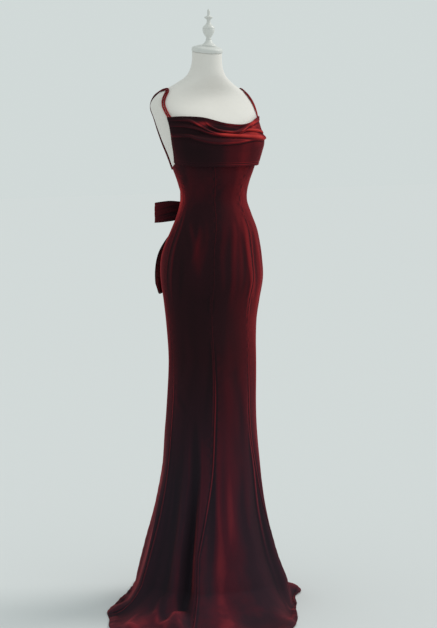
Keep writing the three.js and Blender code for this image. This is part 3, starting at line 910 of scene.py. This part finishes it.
def cowl_place(across, down):
    """Points of the cowl's outer face."""
    reach = mix(*COWL_REACH, down)
    angle = mix(-reach, reach, across)
    top = along(COWL_TOP, "angle", "z", np.clip(angle, COWL_TOP["angle"].min(), COWL_TOP["angle"].max()))
    bottom = mix(*COWL_BOTTOM, (angle / COWL_REACH[1]) ** 2) + 0.8 * uneven(np.radians(angle) * 7, 2)
    level = mix(top, bottom, down)
    out, droop = cowl_shape(angle, level, top, bottom)
    stitch = STITCH_DEPTH * bell(level - bottom - STITCH_PLACE, STITCH_WIDTH)
    ends = smooth(np.minimum(across, 1 - across) / COWL_SEWN_SHARE)
    small = 0.15 * uneven(np.radians(angle) * 5 + down * 4, 4)
    return moved(angle, level - droop, mix(COWL_SEWN_OUT, out + small, ends) - stitch)


# the cowl's fold crests get strong painted highlights, and the hollows below them painted shade
cowl = cloth_sheet("cowl_cloth", 250, 170, cowl_place,
                   crest=0.5, bends=(1, 0.3), reaches=(1, 3), curves=(0.35, 0.45))
finished(cowl, gown_velvet, ["cowl_overlay"])
cut(cowl)

# %% [markdown]
# The straps are rouleaux: strips of velvet sewn into narrow tubes and turned inside out. Two lie side by side
# over each shoulder. A circle spun along the route would twist, so each strap is a curve with a round bevel,
# made into a mesh. It follows the form's own surface.

# %% Straps
STRAP_RADIUS = 2.6
STRAP_WALL = 0.8
STRAP_LIFT = 0.7
STRAP_END_LIFT = 1.2
STRAP_SPACING = 6.4
# painted shade on the straps behind the shoulder, and the distance in mm over which it fades in
STRAP_BACK_SHADE = 0.35
STRAP_SHADE_FADE = 40
STRAP_ROUTE = (
    # angle and height, from the neckline over the shoulder to the low back
    (66.5, 1524), (65.5, 1552), (64.5, 1573), (66, 1592), (71.5, 1605), (81, 1612), (92, 1612),
    (105, 1605), (117, 1589), (124, 1562), (127, 1528), (127, 1490), (125, 1450), (122, 1412),
    (120, 1372),
)


def form_point(angle, z):
    return section_point(angle, z, FORM_INSET)


def strap_line(side, lane):
    """Points of a strap's centre line in metres."""
    angle, z = (np.array(column, float) for column in zip(*STRAP_ROUTE))
    centre = form_point(angle, z)
    out = normals(form_point, angle, z)
    ahead = np.gradient(centre, axis=0)
    across = np.cross(ahead, out)
    across /= np.linalg.norm(across, axis=1, keepdims=True)
    line = centre + out * (STRAP_RADIUS + STRAP_LIFT) + across * lane * STRAP_SPACING
    line[[0, -1]] += out[[0, -1]] * STRAP_END_LIFT
    return line * (side, 1, 1) * MM


def strap(name, side, lane):
    """One strap. side is 1 on the wearer's left and -1 on the right, and lane tells a side's two apart."""
    curve = bpy.data.curves.new(name, "CURVE")
    curve.dimensions = "3D"
    curve.bevel_depth = STRAP_RADIUS * MM
    curve.bevel_resolution = 3
    curve.resolution_u = 10
    spline = curve.splines.new("BEZIER")
    line = strap_line(side, lane)
    spline.bezier_points.add(len(line) - 1)
    for point, place in zip(spline.bezier_points, line):
        point.co = place
        point.handle_left_type = point.handle_right_type = "AUTO"
    holder = bpy.data.objects.new(name + "_curve", curve)
    bpy.context.scene.collection.objects.link(holder)
    bpy.context.view_layer.update()
    mesh = bpy.data.meshes.new_from_object(holder.evaluated_get(bpy.context.evaluated_depsgraph_get()))
    bpy.data.objects.remove(holder)
    mesh.shade_smooth()
    mesh.materials.clear()
    points = np.empty(len(mesh.vertices) * 3)
    mesh.vertices.foreach_get("co", points)
    # painted shade on the part of each strap that runs down the back
    set_shine(mesh, -STRAP_BACK_SHADE * smooth(points[1::3] / (STRAP_SHADE_FADE * MM) + 0.5))
    piece = finished(set_in_scene(name + "_rouleau", mesh), lit_strap_velvet, [name])
    thickened(piece, STRAP_WALL)
    cut(piece)
    length = np.linalg.norm(np.diff(line, axis=0), axis=1).sum()
    print(f"{piece.name}: {length:.3f} m long")


for hand, side in (("left", 1), ("right", -1)):
    for lane_name, lane in (("inner", -0.5), ("outer", 0.5)):
        strap(f"strap_{hand}_{lane_name}", side, lane)

# %% [markdown]
# The bow is one wide band folded into two loops, held by a narrow band as the knot, with two tails below.
# Folds run out from the knot, where the band is gathered, and fade towards the ends of the loops.

# %% Bow
KNOT = {"width": 30, "depth": 30, "height": 40, "y": 62.6, "z": 1247}
LOOP = {"reach": 134, "gap": 17, "half_at_knot": 17, "half_at_end": 31, "drop": 14, "swing": 30, "full": 13}
TAIL_TOP = 1224.5
TAIL_POINT = 34
TAILS = (
    # name, side, angle at the top and at the end, half width in degrees at both, level of the end, lift
    ("bow_tail_right", -1, 171, 136, 6, 17, 985, 17),
    ("bow_tail_left", 1, 171, 143, 6, 16, 950, 12),
)


def bow_piece(node, columns, rows, place):
    """One piece of the bow, in place of its solid."""
    piece = cloth_sheet(node + "_cloth", columns, rows, place)
    cut(finished(piece, bow_velvet, [node]))


def bow_loop(name, side):
    """A loop: the band goes out on one face, turns at the end and comes back on the other."""
    start = KNOT["width"] / 2 - 2

    def place(across, down):
        angle = np.pi * (across if side > 0 else 1 - across)
        out = np.maximum(np.sin(angle), 0) ** 0.8
        gather = (1 - out) ** 1.2
        folds = 2.6 * np.sin(down * 19 + side) * gather + 1.6 * uneven(down * 8 + across * 5, 2 + side)
        bulge = LOOP["gap"] / 2 + LOOP["full"] * np.sin(angle) + folds
        x = start + (LOOP["reach"] - start) * out
        y = KNOT["y"] + LOOP["swing"] * out**1.5 - bulge * np.cos(angle)
        half = mix(LOOP["half_at_knot"], LOOP["half_at_end"], smooth(out / 0.65))
        sag = 4 * out * np.sin(np.pi * down) * np.cos(angle)
        z = KNOT["z"] - LOOP["drop"] * out + half * (1 - 2 * down) - sag
        return np.stack([side * (x + folds * np.sin(angle) * 0.4), y, z], -1)

    bow_piece(name, 120, 40, place)


def bow_knot():
    """The band round the middle, with folds that run round it."""
    def place(across, down):
        turn = 2 * np.pi * across
        fold = 0.9 * np.sin(down * 15 + 1) + 0.5 * uneven(down * 9 + turn, 1)
        wide = KNOT["width"] / 2 * (0.86 + 0.14 * (2 * down - 1) ** 2) + fold
        deep = KNOT["depth"] / 2 * (0.90 + 0.10 * (2 * down - 1) ** 2) + fold
        round_x = np.sign(np.cos(turn)) * np.abs(np.cos(turn)) ** 0.7
        round_y = np.sign(np.sin(turn)) * np.abs(np.sin(turn)) ** 0.7
        z = KNOT["z"] + KNOT["height"] * (0.5 - down)
        return np.stack([wide * round_x, KNOT["y"] + deep * round_y, z], -1)

    bow_piece("bow_knot", 72, 30, place)


def bow_tail(name, side, top_angle, end_angle, top_half, end_half, end_level, lift):
    """A tail that hangs over the back of the hip and stands off it."""
    def place(across, down):
        beside = across - 0.5
        half = mix(top_half, end_half, np.sqrt(down))
        centre = mix(top_angle, end_angle, np.sqrt(down) * 0.6 + down * 0.4)
        level = mix(TAIL_TOP, end_level + TAIL_POINT * (2 * beside) ** 2, down)
        fold = 3 * np.cos(beside * 2 * np.pi * 1.2) * down + 1.5 * uneven(beside * 9 + side, 4) * (1 - down)
        out = 3.1 + 2.3 * np.sqrt(down) + lift * np.sin(down * 0.62 * np.pi) + fold
        return moved(side * centre + beside * 2 * half, level, out)

    bow_piece(name, 36, 90, place)


bow_knot()
bow_loop("bow_loop_left", 1)
bow_loop("bow_loop_right", -1)
for tail in TAILS:
    bow_tail(*tail)

# %% [markdown]
# The form is a smooth shell under a close-knit cover. It is a cylinder of many rings, and each ring takes the
# shape of the body's section at its height, a little inside the dress.

# %% Dress form
FORM_BOTTOM = 930
NECK_TOP = 1729
NECK_BOTTOM = 1650
CAP_TILT = 8
FORM_SIDES, FORM_RINGS = 128, 150


def lean(level):
    """Slope of the neck's rings, which grows towards the tilted cap."""
    return math.tan(math.radians(CAP_TILT)) * smooth((level - NECK_BOTTOM) / (NECK_TOP - NECK_BOTTOM))


def form_material():
    """Off-white close-knit cover: matt, with a trace of fluff and a very fine bump."""
    made, nodes, links, shader = new_material("form_cover")
    place = nodes.new("ShaderNodeTexCoord").outputs["Object"]
    colour = ramp(nodes, links, noise(nodes, links, place, 7, 4),
                  ((0.3, (0.76, 0.725, 0.68)), (0.7, (0.81, 0.775, 0.73))))
    links.new(colour, shader.inputs["Base Color"])
    shader.inputs["Roughness"].default_value = 0.75
    shader.inputs["Sheen Weight"].default_value = 0.15
    bumped(nodes, links, shader, ((noise(nodes, links, place, 1300, 2), 0.0004, 0.35),
                                  (noise(nodes, links, place, 11, 2), 0.004, 0.12)))
    return made


def dress_form():
    bm = bmesh.new()
    bmesh.ops.create_cone(bm, cap_ends=True, segments=FORM_SIDES, radius1=1, radius2=1, depth=1)
    upright = [edge for edge in bm.edges if abs(edge.verts[0].co.z - edge.verts[1].co.z) > 0.5]
    bmesh.ops.subdivide_edges(bm, edges=upright, cuts=FORM_RINGS, use_grid_fill=True)
    for vert in bm.verts:
        level = mix(FORM_BOTTOM, NECK_TOP, vert.co.z + 0.5)
        angle = math.degrees(math.atan2(vert.co.x, -vert.co.y))
        point = form_point(np.array(angle), np.array(level))
        point[2] += lean(level) * point[1]
        vert.co = Vector(point * MM)
    mesh = bpy.data.meshes.new("form_cover")
    bm.to_mesh(mesh)
    bm.free()
    mesh.shade_smooth()
    return finished(set_in_scene("form_cover", mesh), form_material(), ["dress_form_torso"])


print("form:", len(dress_form().data.vertices), "points")

# %% [markdown]
# The neck is closed by a turned cap, painted white. A lathe shapes such a piece from its profile, and a spin
# does the same to a line of edges.

# %% Neck cap and finial
CAP_PROFILE = (
    (0, 0), (46, 0), (47.4, 0.8), (48, 2.5), (48.2, 8), (47.8, 10.4), (46.5, 12.4), (44.5, 13.9), (42, 15),
    (33, 18), (24, 20.5), (0, 21),
)
FINIAL_PROFILE = (
    (0, 0), (24, 0), (24, 8), (20, 10.4), (16, 14), (12.6, 17.6), (10, 21.4), (8.4, 24.4), (8, 25.6),
    (8.9, 26.6), (8.9, 28.2), (7.4, 29.4), (7.2, 30.8), (8.6, 33.6), (12, 38.4), (15, 43), (17.6, 48.4),
    (18.9, 54), (19, 56.6), (18.2, 57.6), (19, 58.6), (18.9, 61), (17.5, 64.4), (14.6, 67.6), (10.5, 71),
    (7.6, 74.6), (6, 78.6), (5.8, 84), (7.4, 87.6), (11, 90.4), (13.5, 91.9), (13.7, 93.2), (12.9, 94.6),
    (8.6, 96.4), (5.2, 98.8), (4.2, 102), (4.3, 106), (4.6, 110), (4, 114), (2.4, 117.6), (0, 119),
)
FINIAL_PLACE = (0, -9, 12)
CAP_GAP = 0.3


def turned_piece(profile, segments=64):
    """A bmesh spun from a profile of (radius, height) pairs in millimetres."""
    bm = bmesh.new()
    verts = [bm.verts.new((radius * MM, 0, height * MM)) for radius, height in profile]
    edges = [bm.edges.new(pair) for pair in zip(verts, verts[1:])]
    bmesh.ops.spin(bm, geom=verts + edges, cent=(0, 0, 0), axis=(0, 0, 1), angle=2 * math.pi, steps=segments,
                   use_merge=True)
    bmesh.ops.remove_doubles(bm, verts=bm.verts, dist=1e-5)
    bmesh.ops.recalc_face_normals(bm, faces=bm.faces)
    return bm


def paint_material():
    """Satin white paint, slightly streaked along the height."""
    made, nodes, links, shader = new_material("white_paint")
    place = nodes.new("ShaderNodeTexCoord").outputs["Object"]
    colour = ramp(nodes, links, noise(nodes, links, place, 30, 3),
                  ((0.3, (0.66, 0.66, 0.63)), (0.7, (0.72, 0.72, 0.69))))
    links.new(colour, shader.inputs["Base Color"])
    shader.inputs["Roughness"].default_value = 0.38
    shader.inputs["Coat Weight"].default_value = 0.15
    bumped(nodes, links, shader, ((noise(nodes, links, place, 160, 2, (1, 1, 0.1)), 0.0008, 0.15),))
    return made


white_paint = paint_material()


def neck_cap():
    """The tilted cap with the upright finial on it, as one piece."""
    seat = Matrix.Translation((0, 0, (NECK_TOP + CAP_GAP) * MM))
    cap = turned_piece(CAP_PROFILE)
    bmesh.ops.transform(cap, matrix=seat @ Matrix.Rotation(math.radians(CAP_TILT), 4, "X"), verts=cap.verts)
    finial = turned_piece(FINIAL_PROFILE, 48)
    upright = seat @ Matrix.Translation(Vector(FINIAL_PLACE) * MM)
    bmesh.ops.transform(finial, matrix=upright, verts=finial.verts)
    mesh = bpy.data.meshes.new("neck_cap_turned")
    finial.to_mesh(mesh)
    finial.free()
    cap.from_mesh(mesh)
    cap.to_mesh(mesh)
    cap.free()
    mesh.shade_smooth()
    return finished(set_in_scene("neck_cap_turned", mesh), white_paint, ["neck_cap"])


print("top of the finial in metres:", round(max(vert.co.z for vert in neck_cap().data.vertices), 3))

# %% [markdown]
# The pole and the foot are plain painted steel. Their solids already have the right shape and only get paint.

# %% Stand
for name in ("stand_pole", "stand_foot"):
    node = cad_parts[name]
    node.data.materials.clear()
    node.data.materials.append(white_paint)
    print("painted:", name)

# %% [markdown]
# A pale floor, a pale surround and soft light from the upper right, as from a large window. The surround is
# light on every side, so the velvet's pile shines a little at all its edges.

# %% Floor and light
FLOOR_SIZE = 20
FLOOR_COLOUR = (0.722, 0.738, 0.742, 1)


def floor():
    """A wide matt floor, which takes the shadow and isn't part of the object."""
    bm = bmesh.new()
    bmesh.ops.create_grid(bm, x_segments=1, y_segments=1, size=FLOOR_SIZE)
    mesh = bpy.data.meshes.new("floor")
    bm.to_mesh(mesh)
    bm.free()
    made, nodes, links, shader = new_material("floor_paint")
    shader.inputs["Base Color"].default_value = FLOOR_COLOUR
    shader.inputs["Roughness"].default_value = 1.0
    shader.inputs["Specular IOR Level"].default_value = 0.0
    mesh.materials.append(made)
    piece = set_in_scene("floor", mesh)


def surround(colour, strength):
    """Even light from all sides."""
    world = bpy.data.worlds.new("surround")
    world.use_nodes = True
    background = world.node_tree.nodes["Background"]
    background.inputs["Color"].default_value = (*colour, 1)
    background.inputs["Strength"].default_value = strength
    bpy.context.scene.world = world


def sun(name, azimuth, height, softness, strength, colour):
    """A far light. Azimuth 0 is in front and 90 at the wearer's left. Height and softness are in degrees."""
    data = bpy.data.lights.new(name, "SUN")
    data.energy = strength
    data.angle = math.radians(softness)
    data.color = colour
    light = bpy.data.objects.new(name, data)
    light.rotation_euler = (math.radians(90 - height), 0, math.radians(azimuth))
    bpy.context.scene.collection.objects.link(light)


floor()
surround(colour=(0.79, 0.86, 0.85), strength=0.81)
sun("window", azimuth=75, height=38, softness=35, strength=1.3, colour=(1.0, 0.98, 0.95))
bpy.context.scene.view_settings.view_transform = "Standard"
print("lights:", *(light.name for light in bpy.data.lights))
